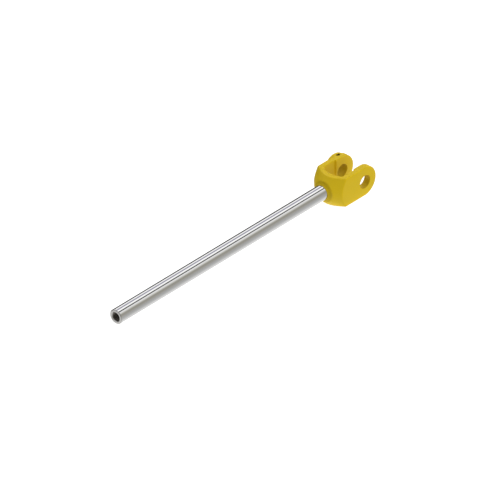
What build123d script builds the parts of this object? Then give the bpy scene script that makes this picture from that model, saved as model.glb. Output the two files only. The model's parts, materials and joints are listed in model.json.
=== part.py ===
"""Cylinder piston rod with a welded fork clevis.

Frame: the origin is where the pin axis meets the rod axis. +X runs along the rod
and out of the fork's mouth, +Y along the pin axis towards the ear with the lock
boss, +Z up. Millimetres.
"""
import os
from math import radians, sqrt, tan
from build123d import *

# Rod
rod_diameter = 40.0
rod_end_to_pin = 864.0        # free end of the rod to the pin axis
rod_chamfer = 2.0
shoulder_to_pin = 88.0        # where the rod bottoms in the clevis socket
land_diameter = 39.0          # turned down under the weld, up to the clevis socket's floor
spigot_diameter = 24.0
spigot_length = 7.0

# Tapped hole in the rod's free end, M24 x 2
thread_minor = 21.8
tapped_depth = 50.0
drill_angle = 118.0
mouth_diameter = 28.0         # of the countersink

# Fork clevis
ear_radius = 41.0             # also half the clevis height
half_width = 47.5             # rod axis to an ear's outer face
slot_half_width = 28.0        # between the ears
pocket_half_width = 32.0      # between the thinner arms behind the ears
ear_length = 23.0             # how far the thick part of an ear reaches behind the pin axis
slot_depth = 75.0             # pin axis to the middle of the slot's back wall
slot_back_radius = 57.0
pocket_corner = 10.0
step_run = 1.5                # length of the slope from pocket to ear
step_round = 2.8
back_to_pin = 101.0           # pin axis to the flat ring round the rod
back_flat_radius = 30.0
back_slope = 45.0             # the turned cone between that ring and the sides
outer_fillet = 4.0
inner_fillet = 2.5

# Pin bore and the lock boss on the +Y ear
pin_bore = 36.0
bore_chamfer = 0.8
boss_radius = 38.0
boss_face = 58.0              # rod axis to the boss's outer face
boss_fillet = 3.0
lock_hole = 11.0
lock_hole_y = 43.5
lock_chamfer = 0.6

# Weld
weld_leg_on_rod = 6.6
weld_leg_on_back = 8.0
weld_hollow = 0.9             # how far the weld's face sinks below its chord
socket_clearance = 0.05
pilot_gap = 0.5               # left past the spigot's end

rod_radius = rod_diameter / 2
land_radius = land_diameter / 2
beyond = 20.0                 # how far cutting tools run past the clevis
near = 0.1                    # how closely an edge must lie where it is looked for


def along_x(start, end, radius):
    """A cylinder about the rod axis between two x positions."""
    middle = (start + end) / 2
    return Pos(middle, 0, 0) * Rot(0, 90, 0) * Cylinder(radius, abs(end - start))


def along_y(start, end, radius):
    """A cylinder about the pin axis between two y positions."""
    middle = (start + end) / 2
    return Pos(0, middle, 0) * Rot(90, 0, 0) * Cylinder(radius, abs(end - start))


def about_x(profile):
    """A solid of revolution about the rod axis, from a profile in the XY plane."""
    return revolve(profile, Axis.X, 360)


def weld_tip():
    """Where the weld runs out on the rod, and the rod's land begins."""
    return -back_to_pin - weld_leg_on_rod


def piston_rod():
    """The chromed rod: chamfered, tapped free end, and a land and spigot at the clevis."""
    free_end = -rod_end_to_pin
    shoulder = -shoulder_to_pin
    spigot_end = shoulder + spigot_length
    spigot_radius = spigot_diameter / 2
    hole_end = free_end + tapped_depth
    hole_radius = thread_minor / 2
    mouth_radius = mouth_diameter / 2
    drill_point = hole_radius / tan(radians(drill_angle / 2))
    outline = Polyline(
        (hole_end + drill_point, 0),
        (hole_end, hole_radius),
        (free_end + mouth_radius - hole_radius, hole_radius),
        (free_end, mouth_radius),
        (free_end, rod_radius - rod_chamfer),
        (free_end + rod_chamfer, rod_radius),
        (weld_tip(), rod_radius),
        (weld_tip(), land_radius),
        (shoulder, land_radius),
        (shoulder, spigot_radius),
        (spigot_end, spigot_radius),
        (spigot_end, 0),
        close=True,
    )
    return about_x(make_face(outline))


def turned_back():
    """All that a lathe leaves of the fork: a flat ring, a cone and no limit ahead of it."""
    cone_run = 2 * beyond
    cone_end = back_flat_radius + cone_run * tan(radians(back_slope))
    outline = Polyline(
        (-back_to_pin, 0),
        (-back_to_pin, back_flat_radius),
        (-back_to_pin + cone_run, cone_end),
        (ear_radius + beyond, cone_end),
        (ear_radius + beyond, 0),
        close=True,
    )
    return about_x(make_face(outline))


def fork_blank():
    """The clevis before its slot: a round-ended block with its back turned to a cone."""
    side = Circle(ear_radius)
    side += Pos(-back_to_pin / 2, 0) * Rectangle(back_to_pin, 2 * ear_radius)
    block = extrude(Plane.XZ * side, half_width, both=True)
    blank = block & turned_back()
    return fillet(blank.edges(), outer_fillet)


def slot_tool():
    """The slot seen from above: a pocket with rounded corners, narrowing at the ears."""
    corner_x = -slot_depth + slot_back_radius
    corner_x -= sqrt(slot_back_radius**2 - pocket_half_width**2)
    back = ThreePointArc(
        (corner_x, pocket_half_width),
        (-slot_depth, 0),
        (corner_x, -pocket_half_width),
    )
    mouth = ear_radius + beyond
    slope_start = -ear_length - step_run / 2
    slope_end = -ear_length + step_run / 2
    sides = Polyline(
        (corner_x, -pocket_half_width),
        (slope_start, -pocket_half_width),
        (slope_end, -slot_half_width),
        (mouth, -slot_half_width),
        (mouth, slot_half_width),
        (slope_end, slot_half_width),
        (slope_start, pocket_half_width),
        (corner_x, pocket_half_width),
    )
    plan = make_face([back, sides])
    plan = fillet(plan.vertices().filter_by(lambda v: v.X < slope_start - near), pocket_corner)
    slopes = plan.vertices().filter_by(lambda v: slope_start - near < v.X < slope_end + near)
    plan = fillet(slopes, step_round)
    return extrude(plan, ear_radius + beyond, both=True)


def is_slot_rim(edge):
    """True for the edges where the slot breaks out of the clevis's outside."""
    start, middle = edge @ 0, edge @ 0.5
    within = abs(middle.Y) < pocket_half_width + near and middle.X > -slot_depth - near
    level = abs(abs(middle.Z) - ear_radius) < near and abs(start.Z - middle.Z) < near
    around_ear = middle.X > ear_radius - near
    return within and (level or around_ear)


def clevis():
    """The fork: two ears, a coned base with the rod's socket, and the lock boss."""
    fork = fork_blank() - slot_tool()
    fork = fillet(fork.edges().filter_by(is_slot_rim), inner_fillet)

    boss_root = (pocket_half_width + half_width) / 2
    boss = along_y(boss_root, boss_face, boss_radius)
    boss = fillet(boss.edges().group_by(Axis.Y)[-1], boss_fillet)
    fork += boss

    pin = along_y(-half_width - beyond, boss_face + beyond, pin_bore / 2)
    fork -= pin
    rims = fork.edges().filter_by(GeomType.CIRCLE)
    rims = rims.filter_by(lambda e: abs(e.radius - pin_bore / 2) < near)
    fork = chamfer(rims, bore_chamfer)

    lock = Pos(0, lock_hole_y, ear_radius / 2) * Cylinder(lock_hole / 2, ear_radius + beyond)
    mouth = Pos(0, lock_hole_y, boss_radius)
    mouth *= Cone(lock_hole / 2 - lock_chamfer, lock_hole / 2 + lock_chamfer, 2 * lock_chamfer)
    fork -= lock + mouth

    socket_radius = land_radius + socket_clearance
    pilot_radius = spigot_diameter / 2 + socket_clearance
    pilot_end = -shoulder_to_pin + spigot_length + pilot_gap
    fork -= along_x(-back_to_pin - beyond, -shoulder_to_pin, socket_radius)
    fork -= along_x(-shoulder_to_pin, pilot_end, pilot_radius)
    return fork


def weld_bead():
    """The hollow fillet weld between the rod and the clevis, down to the rod's land."""
    root = (-back_to_pin, land_radius)
    toe = (-back_to_pin, rod_radius + weld_leg_on_back)
    tip = (weld_tip(), rod_radius)
    under_tip = (weld_tip(), land_radius)
    chord = Vector(*toe) - Vector(*tip)
    sink = Vector(chord.Y, -chord.X).normalized() * weld_hollow
    middle = (Vector(*toe) + Vector(*tip)) * 0.5 + sink
    face = ThreePointArc(toe, (middle.X, middle.Y), tip)
    return about_x(make_face([face, Polyline(tip, under_tip, root, toe)]))


parts = {
    "piston_rod": piston_rod(),
    "clevis": clevis(),
    "weld_bead": weld_bead(),
}
os.makedirs("parts", exist_ok=True)
for name, shape in parts.items():
    export_step(shape, f"parts/{name}.step")
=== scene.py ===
"""Looks of a chromed cylinder rod with a painted, welded fork clevis."""

import json
import math

import bmesh
import bpy
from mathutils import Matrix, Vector


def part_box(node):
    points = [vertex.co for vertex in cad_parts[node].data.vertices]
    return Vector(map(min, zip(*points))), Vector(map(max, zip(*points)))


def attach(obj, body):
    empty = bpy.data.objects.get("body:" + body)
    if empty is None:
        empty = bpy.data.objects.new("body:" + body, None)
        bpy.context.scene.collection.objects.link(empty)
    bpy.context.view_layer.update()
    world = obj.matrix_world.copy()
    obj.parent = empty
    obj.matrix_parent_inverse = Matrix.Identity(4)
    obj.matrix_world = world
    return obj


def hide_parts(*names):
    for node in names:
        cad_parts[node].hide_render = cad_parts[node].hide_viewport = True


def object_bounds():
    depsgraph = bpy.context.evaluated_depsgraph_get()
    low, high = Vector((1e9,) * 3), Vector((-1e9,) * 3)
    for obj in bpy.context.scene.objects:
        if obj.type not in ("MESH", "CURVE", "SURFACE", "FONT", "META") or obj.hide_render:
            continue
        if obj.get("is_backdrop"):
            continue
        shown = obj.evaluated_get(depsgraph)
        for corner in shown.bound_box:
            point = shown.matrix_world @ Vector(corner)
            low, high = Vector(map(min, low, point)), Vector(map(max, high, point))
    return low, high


bl_info = {
    "name": "Cylinder Rod and Clevis Looks",
    "version": (1, 0, 0),
    "blender": (4, 5, 0),
    "location": "View3D > Sidebar > Rod and Clevis",
    "description": "Gives a chromed rod, its painted fork clevis and the weld between them their finish",
    "category": "Object",
}

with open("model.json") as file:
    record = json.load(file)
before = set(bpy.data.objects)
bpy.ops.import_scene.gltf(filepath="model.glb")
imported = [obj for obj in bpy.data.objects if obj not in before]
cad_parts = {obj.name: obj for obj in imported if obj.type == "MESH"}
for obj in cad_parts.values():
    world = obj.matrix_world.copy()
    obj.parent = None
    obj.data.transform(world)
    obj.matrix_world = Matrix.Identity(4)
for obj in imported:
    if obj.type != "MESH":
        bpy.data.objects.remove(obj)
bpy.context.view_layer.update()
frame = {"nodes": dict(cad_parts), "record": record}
MOUNTS = {mount["name"]: mount for mount in frame["record"]["mounts"]}
THREAD = MOUNTS["rod_end_thread"]["dims"]
ROD_LOW, ROD_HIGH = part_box("piston_rod")
CLEVIS_LOW, CLEVIS_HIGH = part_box("clevis")
WELD_LOW, WELD_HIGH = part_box("weld_bead")
MM = 0.001
BORES = {
    # setting with the colour of the shade painted on the wall: a point on the axis with the wall ahead
    # of it, the axis, the radius
    "pin_wall_shade": (
        (0.0, CLEVIS_LOW.y - 1 * MM, 0.0), (0.0, 1.0, 0.0),
        MOUNTS["pin_bore"]["dims"]["r_mm"] * MM,
    ),
    "lock_wall_shade": (
        (*MOUNTS["lock_hole"]["pos_m"][:2], 0.0), (0.0, 0.0, 1.0),
        MOUNTS["lock_hole"]["dims"]["r_mm"] * MM,
    ),
}


# Studio light: the floor and the strips that the chrome mirrors

PLAIN = (1.0, 1.0, 1.0)
WARM = (1.03, 1.0, 0.9)
COOL = (0.92, 0.9, 1.2)
FLOOR_REACH = 0.5
FLOOR_STRIPS = (
    # metres from the rod's axis, brightness
    (-0.5, 0.72), (-0.15, 0.78), (-0.07, 0.95), (-0.035, 1.3), (0.06, 1.5), (0.12, 1.2),
    (0.14, 0.05), (0.5, 0.25),
)
STRIPS = (
    # angle about the rod in degrees, brightness, tint
    (-180, 0.72, WARM), (-60, 0.72, PLAIN), (-20, 0.1, PLAIN), (0, 0.02, PLAIN),
    (19, 0.02, COOL), (25, 1.9, PLAIN), (44, 1.8, PLAIN), (54, 0.5, COOL), (66, 0.6, COOL),
    (73, 2.0, PLAIN), (91, 2.0, PLAIN), (96, 0.04, PLAIN), (107, 0.04, WARM),
    (112, 1.75, PLAIN), (128, 1.3, PLAIN), (138, 0.95, WARM), (150, 0.56, WARM),
    (168, 0.62, WARM), (180, 0.72, WARM),
)
FULL_BRIGHTNESS = 2.0  # strength that a ramp's white stands for
PANEL_OFFSET = Vector((0.9, -2.2, 0.7))  # side panel, from the part's middle

# Turned meshes

SHARP_ANGLE = math.radians(28)
ROWS_PER_PITCH = 14
UNTAPPED_PITCHES = 5  # left at the bottom of the hole
RUN_OUT_PITCHES = 2  # over which the thread fades out
WELD_STEPS = 14  # across the weld's face
FACES_PER_RIPPLE = 8


# Settings that a user would change

class RodSettings(bpy.types.PropertyGroup):
    """Sizes and finish of the chromed rod."""

    segments: bpy.props.IntProperty(
        name="Segments", description="Faces around the rod", default=192, min=48
    )
    chamfer: bpy.props.FloatProperty(
        name="Chamfer", description="Chamfer on the free end", default=2.0 * MM,
        unit="LENGTH", precision=4,
    )
    edge_round: bpy.props.FloatProperty(
        name="Edge round", description="How far each turned edge is broken",
        default=0.25 * MM, unit="LENGTH", precision=5,
    )
    thread_pitch: bpy.props.FloatProperty(
        name="Thread pitch", description="Pitch of the tapped hole", default=2.0 * MM,
        unit="LENGTH", precision=4,
    )
    thread_major: bpy.props.FloatProperty(
        name="Thread major radius", description="Radius at the thread's roots",
        default=12.0 * MM, unit="LENGTH", precision=4,
    )
    mouth_radius: bpy.props.FloatProperty(
        name="Mouth radius", description="Radius of the tapped hole's countersink",
        default=14.0 * MM, unit="LENGTH", precision=4,
    )
    hole_depth: bpy.props.FloatProperty(
        name="Hole depth", description="Depth of the tapped hole's straight part",
        default=50.0 * MM, unit="LENGTH", precision=4,
    )
    land_radius: bpy.props.FloatProperty(
        name="Land radius", description="Radius under the weld and in the socket",
        default=19.5 * MM, unit="LENGTH", precision=4,
    )
    spigot_radius: bpy.props.FloatProperty(
        name="Spigot radius", description="Radius of the spigot that centres the rod",
        default=12.0 * MM, unit="LENGTH", precision=4,
    )
    spigot_length: bpy.props.FloatProperty(
        name="Spigot length", description="Length of that spigot",
        default=7.0 * MM, unit="LENGTH", precision=4,
    )
    drill_angle: bpy.props.FloatProperty(
        name="Drill angle", description="Point angle at the hole's bottom",
        default=math.radians(118), subtype="ANGLE",
    )
    chrome_colour: bpy.props.FloatVectorProperty(
        name="Chrome", description="Colour of the hard chrome", subtype="COLOR",
        size=3, default=(0.50, 0.50, 0.495), min=0.0, max=1.0,
    )
    steel_colour: bpy.props.FloatVectorProperty(
        name="Bare steel", description="Colour of the turned end face and the thread",
        subtype="COLOR", size=3, default=(0.42, 0.415, 0.40), min=0.0, max=1.0,
    )
    # colour that darkens the inside of the tapped hole and its thread
    hole_dark_colour: bpy.props.FloatVectorProperty(
        name="Oiled thread", description="Colour of the oily thread and hole",
        subtype="COLOR", size=3, default=(0.10, 0.09, 0.075), min=0.0, max=1.0,
    )


class PaintSettings(bpy.types.PropertyGroup):
    """Colours of the machinery paint and of the shade painted on its hollows and bores."""

    yellow: bpy.props.FloatVectorProperty(
        name="Yellow", description="Paint on the casting", subtype="COLOR", size=3,
        default=(0.585, 0.418, 0.009), min=0.0, max=1.0,
    )
    # deep yellow: random thicker paint, and the colour of the painted shade in hollows
    yellow_deep_and_shade: bpy.props.FloatVectorProperty(
        name="Deep yellow", description="Paint where it lies thick or dusty", subtype="COLOR",
        size=3, default=(0.68, 0.46, 0.0), min=0.0, max=1.0,
    )
    # painted shade: the pin bore's wall is coloured darker, as it lies in shade
    pin_wall_shade: bpy.props.FloatVectorProperty(
        name="Bore grime", description="Old grease and thin paint in the pin bore",
        subtype="COLOR", size=3, default=(0.52, 0.365, 0.008), min=0.0, max=1.0,
    )
    # painted shade: the lock hole's wall is coloured nearly black, as it lies in shade
    lock_wall_shade: bpy.props.FloatVectorProperty(
        name="Lock hole grime", description="Bare, oily wall of the lock hole",
        subtype="COLOR", size=3, default=(0.07, 0.04, 0.004), min=0.0, max=1.0,
    )
    roughness: bpy.props.FloatProperty(
        name="Roughness", description="Roughness of the paint", default=0.5,
        min=0.0, max=1.0,
    )


class WeldSettings(bpy.types.PropertyGroup):
    """Shape of the weld's ripples."""

    ripples: bpy.props.IntProperty(
        name="Ripples", description="Ripples round the weld", default=58, min=8
    )
    ripple_height: bpy.props.FloatProperty(
        name="Ripple height", description="Depth between two ripples", default=0.45 * MM,
        unit="LENGTH", precision=5,
    )
    ripple_bow: bpy.props.FloatProperty(
        name="Ripple bow", description="How far each ripple bends, in ripples over its ends",
        default=1.6, min=0.0,
    )
    hollow: bpy.props.FloatProperty(
        name="Hollow", description="How far the weld's face sinks", default=0.9 * MM,
        unit="LENGTH", precision=5,
    )


class StageSettings(bpy.types.PropertyGroup):
    """Camera, floor and lights."""

    azimuth: bpy.props.FloatProperty(
        name="Azimuth", description="Direction that the camera looks from",
        default=math.radians(312.1), subtype="ANGLE",
    )
    elevation: bpy.props.FloatProperty(
        name="Elevation", description="Height of the camera above the horizon",
        default=math.radians(33.1), subtype="ANGLE",
    )
    distance: bpy.props.FloatProperty(
        name="Distance", description="How far the camera stands from the pin",
        default=3.0, unit="LENGTH",
    )
    view_width: bpy.props.FloatProperty(
        name="View width", description="Width that the camera sees",
        default=1.1815, unit="LENGTH",
    )
    pin_right: bpy.props.FloatProperty(
        name="Pin to the right", description="Pin's distance right of the view's middle",
        default=0.2729, unit="LENGTH",
    )
    pin_up: bpy.props.FloatProperty(
        name="Pin up", description="Pin's distance above the view's middle",
        default=0.1604, unit="LENGTH",
    )
    floor_size: bpy.props.FloatProperty(
        name="Floor", description="Width of the floor", default=60.0, unit="LENGTH"
    )
    floor_glow: bpy.props.FloatProperty(
        name="Floor glow", description="Brightness of the floor's own light",
        default=0.95, min=0.0,
    )
    panel_size: bpy.props.FloatProperty(
        name="Panel size", description="Width of the soft side panel",
        default=1.6, unit="LENGTH",
    )
    panel_power: bpy.props.FloatProperty(
        name="Panel power", description="Power of the side panel in watts",
        default=16.0, min=0.0, unit="POWER",
    )
    world_strength: bpy.props.FloatProperty(
        name="Studio brightness", description="Brightness of the strip lights",
        default=1.0, min=0.0,
    )


# Node helpers

def new_material(name):
    """A material with its Principled shader and output, returned with its node tree and shader."""
    material = bpy.data.materials.new(name)
    material.use_nodes = True
    tree = material.node_tree
    tree.nodes.clear()
    output = tree.nodes.new("ShaderNodeOutputMaterial")
    shader = tree.nodes.new("ShaderNodeBsdfPrincipled")
    tree.links.new(shader.outputs["BSDF"], output.inputs["Surface"])
    return material, tree, shader


def add(tree, kind, **settings):
    """Adds a node and sets its properties and the inputs named by number or name."""
    node = tree.nodes.new(kind)
    inputs = settings.pop("inputs", {})
    for key, value in settings.items():
        setattr(node, key, value)
    for key, value in inputs.items():
        if isinstance(value, bpy.types.NodeSocket):
            tree.links.new(value, node.inputs[key])
        else:
            node.inputs[key].default_value = value
    return node


def new_group(name, inputs, outputs):
    """A shader node group with the given sockets, as (group, input node, output node)."""
    group = bpy.data.node_groups.new(name, "ShaderNodeTree")
    for label, kind, default in inputs:
        socket = group.interface.new_socket(label, in_out="INPUT", socket_type=kind)
        if default is not None:
            socket.default_value = default
    for label, kind in outputs:
        group.interface.new_socket(label, in_out="OUTPUT", socket_type=kind)
    return group, group.nodes.new("NodeGroupInput"), group.nodes.new("NodeGroupOutput")


def colour(rgb):
    """An RGBA value from a colour setting."""
    return (*rgb, 1.0)


# Shared effects

def uneven_group():
    """Cloudy variation at two sizes, as a value about 0.5."""
    group, start, end = new_group(
        "uneven_finish",
        [("Vector", "NodeSocketVector", None), ("Large", "NodeSocketFloat", 20.0),
         ("Small", "NodeSocketFloat", 400.0), ("Small share", "NodeSocketFloat", 0.35)],
        [("Value", "NodeSocketFloat")],
    )
    large = add(group, "ShaderNodeTexNoise", inputs={
        "Vector": start.outputs["Vector"], "Scale": start.outputs["Large"], "Detail": 4.0})
    small = add(group, "ShaderNodeTexNoise", inputs={
        "Vector": start.outputs["Vector"], "Scale": start.outputs["Small"], "Detail": 2.0})
    mix = add(group, "ShaderNodeMix", data_type="FLOAT", inputs={
        0: start.outputs["Small share"], 2: large.outputs["Fac"], 3: small.outputs["Fac"]})
    group.links.new(mix.outputs[0], end.inputs["Value"])
    return group


def edges_group():
    """Masks for outer edges and for hollows, from the surface's own shape; the hollow mask, from ambient
    occlusion, places painted shade.
    """
    group, start, end = new_group(
        "edges_and_hollows",
        [("Reach", "NodeSocketFloat", 0.003)],
        [("Edge", "NodeSocketFloat"), ("Hollow", "NodeSocketFloat")],
    )
    bevel = add(group, "ShaderNodeBevel", samples=6, inputs={"Radius": start.outputs["Reach"]})
    plain = add(group, "ShaderNodeNewGeometry")
    turn = add(group, "ShaderNodeVectorMath", operation="DOT_PRODUCT", inputs={
        0: bevel.outputs["Normal"], 1: plain.outputs["Normal"]})
    edge = add(group, "ShaderNodeMapRange", inputs={
        "Value": turn.outputs["Value"], "From Min": 0.999, "From Max": 0.93})
    # ambient occlusion: where it is low, the paint gets painted shade
    shade = add(group, "ShaderNodeAmbientOcclusion", samples=6, inputs={"Distance": 0.02})
    hollow = add(group, "ShaderNodeMapRange", inputs={
        "Value": shade.outputs["AO"], "From Min": 0.95, "From Max": 0.35})
    group.links.new(edge.outputs["Result"], end.inputs["Edge"])
    group.links.new(hollow.outputs["Result"], end.inputs["Hollow"])
    return group


def place_group(tree, group, **inputs):
    """Puts a shared effect into a material with its own values."""
    node = tree.nodes.new("ShaderNodeGroup")
    node.node_tree = group
    for key, value in inputs.items():
        label = key.replace("_", " ").capitalize()
        if isinstance(value, bpy.types.NodeSocket):
            tree.links.new(value, node.inputs[label])
        else:
            node.inputs[label].default_value = value
    return node


def stretched(tree, scale):
    """Object coordinates scaled unevenly along X, Y and Z."""
    place = add(tree, "ShaderNodeTexCoord")
    mapping = add(tree, "ShaderNodeMapping", inputs={
        "Vector": place.outputs["Object"], "Scale": scale})
    return mapping.outputs["Vector"]


# Materials

def hard_chrome(settings, uneven):
    """Ground and polished hard chrome: fine grinding rings and a slightly uneven sheen."""
    material, tree, shader = new_material("hard_chrome")
    rings = add(tree, "ShaderNodeTexNoise", inputs={
        "Vector": stretched(tree, (9000.0, 60.0, 60.0)), "Scale": 1.0, "Detail": 3.0})
    cloud = place_group(tree, uneven, vector=stretched(tree, (1.0, 1.0, 1.0)),
                        large=14.0, small=160.0, small_share=0.4)
    rough = add(tree, "ShaderNodeMapRange", inputs={
        "Value": cloud.outputs["Value"], "From Min": 0.3, "From Max": 0.7,
        "To Min": 0.06, "To Max": 0.11})
    tint = add(tree, "ShaderNodeMix", data_type="RGBA", inputs={
        0: cloud.outputs["Value"], 6: colour(settings.chrome_colour),
        7: colour([channel * 0.94 for channel in settings.chrome_colour])})
    bump = add(tree, "ShaderNodeBump", inputs={
        "Strength": 0.05, "Distance": 0.00002, "Height": rings.outputs["Fac"]})
    tree.links.new(tint.outputs[2], shader.inputs["Base Color"])
    tree.links.new(rough.outputs["Result"], shader.inputs["Roughness"])
    tree.links.new(bump.outputs["Normal"], shader.inputs["Normal"])
    shader.inputs["Metallic"].default_value = 1.0
    return material


def turned_steel(settings, uneven):
    """Bare steel straight from the lathe, for the end face and the tapped hole."""
    material, tree, shader = new_material("turned_steel")
    place = add(tree, "ShaderNodeTexCoord")
    split = add(tree, "ShaderNodeSeparateXYZ", inputs={0: place.outputs["Object"]})
    flat = add(tree, "ShaderNodeCombineXYZ", inputs={
        "Y": split.outputs["Y"], "Z": split.outputs["Z"]})
    radius = add(tree, "ShaderNodeVectorMath", operation="LENGTH", inputs={
        0: flat.outputs["Vector"]})
    rings = add(tree, "ShaderNodeTexNoise", noise_dimensions="1D", inputs={
        "W": radius.outputs["Value"], "Scale": 5200.0, "Detail": 2.0})
    cloud = place_group(tree, uneven, vector=place.outputs["Object"],
                        large=90.0, small=900.0, small_share=0.4)
    tint = add(tree, "ShaderNodeMix", data_type="RGBA", inputs={
        0: cloud.outputs["Value"], 6: colour(settings.steel_colour),
        7: colour([channel * 0.82 for channel in settings.steel_colour])})
    rough = add(tree, "ShaderNodeMapRange", inputs={
        "Value": rings.outputs["Fac"], "To Min": 0.28, "To Max": 0.46})
    bump = add(tree, "ShaderNodeBump", inputs={
        "Strength": 0.25, "Distance": 0.00004, "Height": rings.outputs["Fac"]})
    # darker inside the tapped hole, below the thread's major radius
    hole_darkening = add(tree, "ShaderNodeMapRange", inputs={
        "Value": radius.outputs["Value"], "From Min": settings.thread_major - 0.1 * MM,
        "From Max": settings.thread_major + 0.3 * MM, "To Min": 0.95, "To Max": 0.0})
    dark = add(tree, "ShaderNodeMix", data_type="RGBA", inputs={
        0: hole_darkening.outputs["Result"], 6: tint.outputs[2], 7: colour(settings.hole_dark_colour)})
    tree.links.new(dark.outputs[2], shader.inputs["Base Color"])
    tree.links.new(rough.outputs["Result"], shader.inputs["Roughness"])
    tree.links.new(bump.outputs["Normal"], shader.inputs["Normal"])
    shader.inputs["Metallic"].default_value = 1.0
    return material


def within_bore(tree, position, centre, axis, radius):
    """Mask of the wall of a bore along +Y or +Z, from the distance to its axis."""
    crosswise = [1.0 - part for part in axis]
    ahead = add(tree, "ShaderNodeVectorMath", operation="DOT_PRODUCT", inputs={
        0: position, 1: axis})
    clear = add(tree, "ShaderNodeMath", operation="GREATER_THAN", inputs={
        0: ahead.outputs["Value"], 1: Vector(centre).dot(axis)})
    apart = add(tree, "ShaderNodeVectorMath", operation="SUBTRACT", inputs={
        0: position, 1: centre})
    across = add(tree, "ShaderNodeVectorMath", operation="MULTIPLY", inputs={
        0: apart.outputs["Vector"], 1: crosswise})
    reach = add(tree, "ShaderNodeVectorMath", operation="LENGTH", inputs={
        0: across.outputs["Vector"]})
    wall = add(tree, "ShaderNodeMapRange", inputs={
        "Value": reach.outputs["Value"], "From Min": radius + 0.1 * MM,
        "From Max": radius + 0.5 * MM, "To Min": 0.95, "To Max": 0.0})
    mask = add(tree, "ShaderNodeMath", operation="MULTIPLY", inputs={
        0: clear.outputs["Value"], 1: wall.outputs["Result"]})
    return mask.outputs["Value"]


def machinery_paint(name, settings, uneven, edges, shade, peel, bores=()):
    """Satin yellow paint with orange peel, thinner and lighter on edges (thin paint with a painted
    highlight), with painted shade in hollows and on the walls of the listed bores, and every colour
    scaled by shade, which paints shade over the whole piece.
    """
    material, tree, shader = new_material(name)
    place = add(tree, "ShaderNodeTexCoord")
    cloud = place_group(tree, uneven, vector=place.outputs["Object"],
                        large=26.0, small=420.0, small_share=0.3)
    masks = place_group(tree, edges, reach=0.0025)
    # shade scales every colour down; below 1 it is painted shade, as on the weld
    yellow = [channel * shade for channel in settings.yellow]
    deep = [channel * shade for channel in settings.yellow_deep_and_shade]
    light = [min(1.0, channel * 1.12) for channel in yellow]
    drift = add(tree, "ShaderNodeMapRange", inputs={
        "Value": cloud.outputs["Value"], "From Min": 0.35, "From Max": 0.75,
        "To Min": 0.0, "To Max": 0.35})
    body = add(tree, "ShaderNodeMix", data_type="RGBA", inputs={
        0: drift.outputs["Result"], 6: colour(yellow), 7: colour(deep)})
    # lighter on edges: thin paint, together with a painted highlight along the rims
    thin = add(tree, "ShaderNodeMath", operation="MULTIPLY", inputs={
        0: masks.outputs["Edge"], 1: 0.15})
    edged = add(tree, "ShaderNodeMix", data_type="RGBA", inputs={
        0: thin.outputs["Value"], 6: body.outputs[2], 7: colour(light)})
    # painted shade: hollows found by ambient occlusion turn to the deep yellow
    hollow_shade_share = add(tree, "ShaderNodeMath", operation="MULTIPLY", inputs={
        0: masks.outputs["Hollow"], 1: 0.8})
    shaded = add(tree, "ShaderNodeMix", data_type="RGBA", inputs={
        0: hollow_shade_share.outputs["Value"], 6: edged.outputs[2], 7: colour(deep)})
    # painted shade: the wall of each listed bore takes its darker setting colour
    for shade_setting, (centre, axis, radius) in bores:
        inside = within_bore(tree, place.outputs["Object"], centre, axis, radius)
        shaded = add(tree, "ShaderNodeMix", data_type="RGBA", inputs={
            0: inside, 6: shaded.outputs[2], 7: colour(getattr(settings, shade_setting))})
    grain = add(tree, "ShaderNodeTexNoise", inputs={
        "Vector": place.outputs["Object"], "Scale": 650.0, "Detail": 2.0})
    bump = add(tree, "ShaderNodeBump", inputs={
        "Strength": peel, "Distance": 0.00012, "Height": grain.outputs["Fac"]})
    rough = add(tree, "ShaderNodeMapRange", inputs={
        "Value": cloud.outputs["Value"], "From Min": 0.3, "From Max": 0.7,
        "To Min": settings.roughness - 0.04, "To Max": settings.roughness + 0.06})
    shader.inputs["Specular IOR Level"].default_value = 0.12
    tree.links.new(shaded.outputs[2], shader.inputs["Base Color"])
    tree.links.new(rough.outputs["Result"], shader.inputs["Roughness"])
    tree.links.new(bump.outputs["Normal"], shader.inputs["Normal"])
    return material


# Meshes

def lathe(name, rings, segments, radius_at=None):
    """A closed mesh turned about X from (x, radius, material) rings; radius 0 closes an end."""
    shape = bmesh.new()
    loops = []
    for x, radius, _ in rings:
        if radius == 0:
            loops.append([shape.verts.new((x, 0, 0))])
            continue
        loop = []
        for step in range(segments):
            angle = math.tau * step / segments
            r = radius_at(x, radius, angle) if radius_at else radius
            loop.append(shape.verts.new((x, r * math.cos(angle), r * math.sin(angle))))
        loops.append(loop)
    for index in range(len(loops) - 1):
        first, second, slot = loops[index], loops[index + 1], rings[index][2]
        for step in range(segments):
            ahead = (step + 1) % segments
            corners = [first[step % len(first)], first[ahead % len(first)],
                       second[ahead % len(second)], second[step % len(second)]]
            corners = list(dict.fromkeys(corners))
            face = shape.faces.new(corners)
            face.material_index = slot
            face.smooth = True
    bmesh.ops.remove_doubles(shape, verts=shape.verts, dist=1e-7)
    bmesh.ops.recalc_face_normals(shape, faces=shape.faces)
    mesh = bpy.data.meshes.new(name)
    shape.to_mesh(mesh)
    shape.free()
    mesh.set_sharp_from_angle(angle=SHARP_ANGLE)
    piece = bpy.data.objects.new(name, mesh)
    bpy.context.scene.collection.objects.link(piece)
    return piece


def broken_edges(points, size, steps=3):
    """Rounds each marked corner of a turned (x, radius, material, mark) profile."""
    out = [points[0]]
    for before, here, after in zip(points, points[1:], points[2:]):
        if here[3] == 0:
            out.append(here)
            continue
        middle = Vector(here[:2])
        back = (Vector(before[:2]) - middle).normalized() * size
        ahead = (Vector(after[:2]) - middle).normalized() * size
        for step in range(steps + 1):
            part = step / steps
            spot = middle + back * (1 - part) ** 2 + ahead * part ** 2
            out.append((spot.x, spot.y, here[2], 0))
    out.append(points[-1])
    return out


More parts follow.
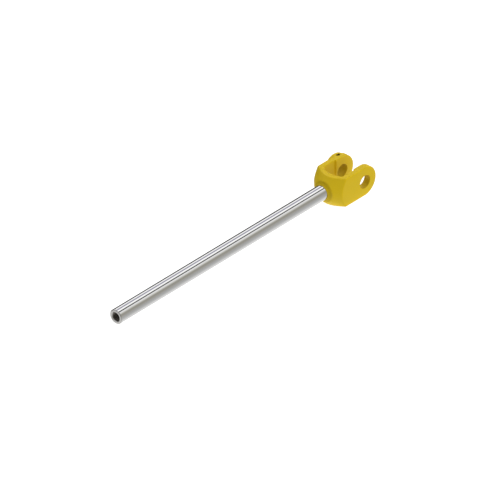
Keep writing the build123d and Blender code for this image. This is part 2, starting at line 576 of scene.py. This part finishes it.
def thread_depth(along):
    """Share of the thread's depth at a fraction of one pitch: flat crest, flanks, flat root."""
    flank = 0.32
    root = 0.24
    along = along % 1.0
    if along < flank:
        return along / flank
    if along < flank + root:
        return 1.0
    if along < 2 * flank + root:
        return (2 * flank + root - along) / flank
    return 0.0


def arch(part):
    """Rises from 0 to 1 and back over 0 to 1."""
    return 4 * part * (1 - part)


# Operators

class ROD_OT_make_rod(bpy.types.Operator):
    """Make the chromed rod with its turned end and real thread"""

    bl_idname = "rodclevis.make_rod"
    bl_label = "Make Rod"

    def execute(self, context):
        settings = context.scene.rod_settings
        uneven = bpy.data.node_groups["uneven_finish"]
        chrome, steel = 0, 1
        radius = ROD_HIGH.y
        start, finish = ROD_LOW.x, ROD_HIGH.x
        minor = THREAD["r_mm"] * MM
        major = settings.thread_major
        pitch = settings.thread_pitch
        weld_tip = WELD_LOW.x
        shoulder = finish - settings.spigot_length
        mouth = settings.mouth_radius
        hole_end = start + settings.hole_depth
        thread_end = hole_end - UNTAPPED_PITCHES * pitch
        run_out = RUN_OUT_PITCHES * pitch
        point = hole_end + minor / math.tan(settings.drill_angle / 2)

        def bore_radius(x, base, angle):
            """Hole radius with the countersink, the thread's helix and its run-out."""
            if base >= mouth or x > thread_end + run_out:
                return base
            depth = thread_depth((x - start) / pitch - angle / math.tau)
            fade = min(1.0, max(0.0, (thread_end - x) / run_out + 1.0))
            threaded = minor + (major - minor) * depth * fade
            return max(threaded, mouth - (x - start))

        rings = [(point, 0, steel), (hole_end, minor, steel)]
        rows = int((hole_end - start) / pitch * ROWS_PER_PITCH)
        for row in range(1, rows + 1):
            rings.append((hole_end + (start - hole_end) * row / rows, minor, steel))
        outside = [
            (start, mouth, steel, 0),
            (start, radius - settings.chamfer, steel, 1),
            (start + settings.chamfer, radius, chrome, 1),
            (weld_tip, radius, chrome, 0),
            (weld_tip, settings.land_radius, steel, 0),
            (shoulder, settings.land_radius, steel, 0),
            (shoulder, settings.spigot_radius, steel, 0),
            (finish, settings.spigot_radius, steel, 0),
            (finish, 0, steel, 0),
        ]
        for x, r, slot, _ in broken_edges(outside, settings.edge_round):
            rings.append((x, r, slot))
        piece = lathe("rod_turned", rings, settings.segments, bore_radius)
        piece.data.materials.append(hard_chrome(settings, uneven))
        piece.data.materials.append(turned_steel(settings, uneven))
        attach(piece, "root")
        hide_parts("piston_rod")
        return {"FINISHED"}


class ROD_OT_paint_clevis(bpy.types.Operator):
    """Paint the cast clevis"""

    bl_idname = "rodclevis.paint_clevis"
    bl_label = "Paint Clevis"

    def execute(self, context):
        uneven = bpy.data.node_groups["uneven_finish"]
        edges = bpy.data.node_groups["edges_and_hollows"]
        paint = machinery_paint(
            "yellow_paint", context.scene.paint_settings, uneven, edges, 1.0, 0.12,
            BORES.items())
        clevis = frame["nodes"]["clevis"]
        if not clevis.material_slots:
            raise RuntimeError("the clevis has no material slot to paint")
        for slot in clevis.material_slots:
            slot.material = paint
        return {"FINISHED"}


class ROD_OT_make_weld(bpy.types.Operator):
    """Make the rippled weld between the rod and the clevis"""

    bl_idname = "rodclevis.make_weld"
    bl_label = "Make Weld"

    def execute(self, context):
        uneven = bpy.data.node_groups["uneven_finish"]
        edges = bpy.data.node_groups["edges_and_hollows"]
        settings = context.scene.weld_settings
        # the weld's paint is scaled to 0.8: painted shade in the ring between the rod and the fork
        paint = machinery_paint(
            "weld_paint", context.scene.paint_settings, uneven, edges, 0.8, 0.2)
        tip, toe = WELD_LOW.x, WELD_HIGH.x
        top = WELD_HIGH.y
        rod = ROD_HIGH.y
        land = context.scene.rod_settings.land_radius
        face = Vector((toe - tip, top - rod))
        inward = Vector((face.y, -face.x)).normalized()
        rings = [(tip, land, 0)]
        for step in range(WELD_STEPS + 1):
            part = step / WELD_STEPS
            spot = Vector((tip, rod)) + face * part + inward * settings.hollow * arch(part)
            rings.append((spot.x, spot.y, 0))
        rings += [(toe, land, 0), (tip, land, 0)]

        def rippled(x, base, angle):
            """Weld radius with crescent ripples that fade out at both edges."""
            if base <= rod:
                return base
            part = min(1.0, (x - tip) / (toe - tip))
            turn = settings.ripples * angle / math.tau + settings.ripple_bow * (part - 0.5) ** 2
            wave = 0.5 + 0.5 * math.cos(math.tau * turn)
            return base - settings.ripple_height * wave * arch(part)

        piece = lathe("weld_rippled", rings, settings.ripples * FACES_PER_RIPPLE, rippled)
        piece.data.materials.append(paint)
        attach(piece, "root")
        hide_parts("weld_bead")
        return {"FINISHED"}


class ROD_OT_make_stage(bpy.types.Operator):
    """Set up the floor, the light and the camera"""

    bl_idname = "rodclevis.make_stage"
    bl_label = "Make Stage"

    def execute(self, context):
        settings = context.scene.stage_settings
        low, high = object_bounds()
        make_floor(settings, low.z)
        make_world(context.scene, settings)
        make_side_panel(settings, (low + high) / 2)
        make_camera(context.scene, settings)
        context.scene.view_settings.view_transform = "Standard"
        return {"FINISHED"}


def make_floor(settings, height):
    """A plain pale floor that the part rests on, lit in strips for all but the camera."""
    half = settings.floor_size / 2
    mesh = bpy.data.meshes.new("floor")
    mesh.from_pydata(
        [(-half, -half, height), (half, -half, height), (half, half, height),
         (-half, half, height)], [], [(0, 1, 2, 3)])
    floor = bpy.data.objects.new("floor", mesh)
    bpy.context.scene.collection.objects.link(floor)
    material, tree, shader = new_material("pale_floor")
    shader.inputs["Base Color"].default_value = (0.35, 0.35, 0.35, 1.0)
    shader.inputs["Roughness"].default_value = 1.0
    shader.inputs["Specular IOR Level"].default_value = 0.0
    shader.inputs["Emission Color"].default_value = (1.0, 1.0, 1.0, 1.0)
    shader.inputs["Emission Strength"].default_value = settings.floor_glow
    place = add(tree, "ShaderNodeTexCoord")
    split = add(tree, "ShaderNodeSeparateXYZ", inputs={0: place.outputs["Object"]})
    share = add(tree, "ShaderNodeMapRange", inputs={
        "Value": split.outputs["Y"], "From Min": -FLOOR_REACH, "From Max": FLOOR_REACH})
    ramp = tinted_ramp(tree, share.outputs["Result"], [
        ((y + FLOOR_REACH) / (2 * FLOOR_REACH), level, PLAIN) for y, level in FLOOR_STRIPS])
    bounce = add(tree, "ShaderNodeEmission", inputs={
        "Color": ramp.outputs["Color"], "Strength": FULL_BRIGHTNESS})
    rays = add(tree, "ShaderNodeLightPath")
    mix = add(tree, "ShaderNodeMixShader", inputs={
        0: rays.outputs["Is Camera Ray"], 1: bounce.outputs[0], 2: shader.outputs[0]})
    tree.links.new(mix.outputs[0], tree.nodes["Material Output"].inputs["Surface"])
    mesh.materials.append(material)
    floor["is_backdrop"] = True


def tinted_ramp(tree, source, marks):
    """A ramp over (place, brightness, tint) marks, as shares of the full brightness."""
    ramp = add(tree, "ShaderNodeValToRGB", inputs={"Fac": source})
    elements = ramp.color_ramp.elements
    while len(elements) < len(marks):
        elements.new(0.5)
    for element, (place, level, tint) in zip(elements, marks):
        element.position = place
        element.color = (*(level / FULL_BRIGHTNESS * channel for channel in tint), 1.0)
    return ramp


def make_world(scene, settings):
    """A studio of long strip lights that run beside the rod, white where it is looked at."""
    world = bpy.data.worlds.new("studio")
    scene.world = world
    world.use_nodes = True
    tree = world.node_tree
    tree.nodes.clear()
    place = add(tree, "ShaderNodeTexCoord")
    split = add(tree, "ShaderNodeSeparateXYZ", inputs={0: place.outputs["Generated"]})
    angle = add(tree, "ShaderNodeMath", operation="ARCTAN2", inputs={
        0: split.outputs["Z"], 1: split.outputs["Y"]})
    share = add(tree, "ShaderNodeMapRange", inputs={
        "Value": angle.outputs["Value"], "From Min": -math.pi, "From Max": math.pi})
    ramp = tinted_ramp(tree, share.outputs["Result"], [
        ((degrees + 180) / 360, level, tint) for degrees, level, tint in STRIPS])
    dimmer_behind = add(tree, "ShaderNodeMapRange", inputs={
        "Value": split.outputs["X"], "From Min": -1.0, "From Max": 0.1,
        "To Min": FULL_BRIGHTNESS / 2 * settings.world_strength,
        "To Max": FULL_BRIGHTNESS * settings.world_strength})
    lit = add(tree, "ShaderNodeBackground", inputs={
        "Color": ramp.outputs["Color"], "Strength": dimmer_behind.outputs["Result"]})
    plain = add(tree, "ShaderNodeBackground", inputs={"Color": (1.0, 1.0, 1.0, 1.0)})
    rays = add(tree, "ShaderNodeLightPath")
    mix = add(tree, "ShaderNodeMixShader", inputs={
        0: rays.outputs["Is Camera Ray"], 1: lit.outputs[0], 2: plain.outputs[0]})
    add(tree, "ShaderNodeOutputWorld", inputs={"Surface": mix.outputs[0]})


def make_side_panel(settings, centre):
    """A large soft panel beside the fork, which doesn't show in the chrome."""
    data = bpy.data.lights.new("side_panel", "AREA")
    data.shape = "DISK"
    data.size = settings.panel_size
    data.energy = settings.panel_power
    lamp = bpy.data.objects.new("side_panel", data)
    lamp.location = centre + PANEL_OFFSET
    lamp.rotation_mode = "QUATERNION"
    lamp.rotation_quaternion = PANEL_OFFSET.to_track_quat("Z", "Y")
    lamp.visible_glossy = False
    bpy.context.scene.collection.objects.link(lamp)


def make_camera(scene, settings):
    """A camera that sees in parallel, as a very long lens does, with the pin where it is set."""
    data = bpy.data.cameras.new("camera")
    data.type = "ORTHO"
    data.ortho_scale = settings.view_width
    camera = bpy.data.objects.new("camera", data)
    scene.collection.objects.link(camera)
    level = math.cos(settings.elevation)
    back = Vector((
        math.sin(settings.azimuth) * level,
        -math.cos(settings.azimuth) * level,
        math.sin(settings.elevation),
    ))
    turn = (-back).to_track_quat("-Z", "Y")
    right, up = turn @ Vector((1, 0, 0)), turn @ Vector((0, 1, 0))
    camera.rotation_mode = "QUATERNION"
    camera.rotation_quaternion = turn
    camera.location = (
        back * settings.distance - right * settings.pin_right - up * settings.pin_up)
    data.clip_start, data.clip_end = 0.1, 10 * settings.distance
    scene.camera = camera


class ROD_PT_panel(bpy.types.Panel):
    """Sidebar panel that lists the steps and settings"""

    bl_label = "Rod and Clevis"
    bl_idname = "ROD_PT_panel"
    bl_space_type = "VIEW_3D"
    bl_region_type = "UI"
    bl_category = "Rod and Clevis"

    def draw(self, context):
        for operator in OPERATORS:
            self.layout.operator(operator.bl_idname)
        for name, settings_class in SETTINGS.items():
            box = self.layout.box()
            settings = getattr(context.scene, name)
            for label in settings_class.__annotations__:
                box.prop(settings, label)


SETTINGS = {
    "rod_settings": RodSettings,
    "paint_settings": PaintSettings,
    "weld_settings": WeldSettings,
    "stage_settings": StageSettings,
}
OPERATORS = (
    ROD_OT_make_rod,
    ROD_OT_paint_clevis,
    ROD_OT_make_weld,
    ROD_OT_make_stage,
)
CLASSES = (*SETTINGS.values(), *OPERATORS, ROD_PT_panel)


def register():
    for kind in CLASSES:
        bpy.utils.register_class(kind)
    for name, kind in SETTINGS.items():
        setattr(bpy.types.Scene, name, bpy.props.PointerProperty(type=kind))


def unregister():
    for name in SETTINGS:
        delattr(bpy.types.Scene, name)
    for kind in reversed(CLASSES):
        bpy.utils.unregister_class(kind)


def main():
    register()
    uneven_group()
    edges_group()
    bpy.ops.rodclevis.make_rod()
    bpy.ops.rodclevis.paint_clevis()
    bpy.ops.rodclevis.make_weld()
    bpy.ops.rodclevis.make_stage()


if __name__ == "__main__":
    main()
